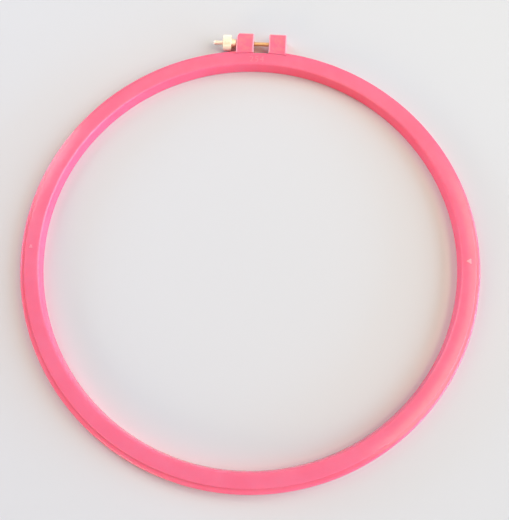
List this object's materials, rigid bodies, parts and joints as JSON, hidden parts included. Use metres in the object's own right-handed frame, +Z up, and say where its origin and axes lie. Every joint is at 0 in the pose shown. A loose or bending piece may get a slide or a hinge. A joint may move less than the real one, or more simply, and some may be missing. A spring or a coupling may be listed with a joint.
{
  "type": "embroidery hoop",
  "caption": "Round moulded embroidery hoop: a flanged inner ring in a split outer ring that a captive screw and a knurled thumb nut draw tight.",
  "frame": {"origin": "on the table under the middle of the object's overall box, 5.7 mm from the ring centre towards the clamp", "axes": "+Z up out of the hoop's plane, from its underside to the flange; +Y from the ring centre to the clamp lugs; +X along the screw, from the nut to the screw's head"},
  "size_m": [0.2782, 0.2897, 0.0104],
  "materials": {
    "outer_plastic": "glossy pink moulded plastic",
    "inner_plastic": "glossy pink moulded plastic",
    "screw_brass": "golden brass",
    "nut_brass": "pale bright brass"
  },
  "bodies": {
    "outer_ring": {"outer_ring": "outer_plastic"},
    "inner_ring": {"inner_ring": "inner_plastic"},
    "clamp_screw": {"clamp_screw": "screw_brass"},
    "thumb_nut": {"thumb_nut": "nut_brass"}
  },
  "joints": [
    {"name": "inner_ring_lift", "type": "slide", "parent": "outer_ring", "child": "inner_ring", "axis": [0, 0, 1], "range_m": [0, 0.012]},
    {"name": "nut_turn", "type": "hinge", "parent": "outer_ring", "child": "thumb_nut", "pos_m": [-0.0215, 0.13915, 0.0053], "axis": [1, 0, 0], "range_deg": [-4320, 0]},
    {"name": "screw_slide", "type": "slide", "parent": "outer_ring", "child": "clamp_screw", "axis": [1, 0, 0], "range_m": [0, 0.006]}
  ],
  "couplings": [
    {"joint": "nut_turn", "follows": "screw_slide", "rad_per_m": -12566}
  ]
}
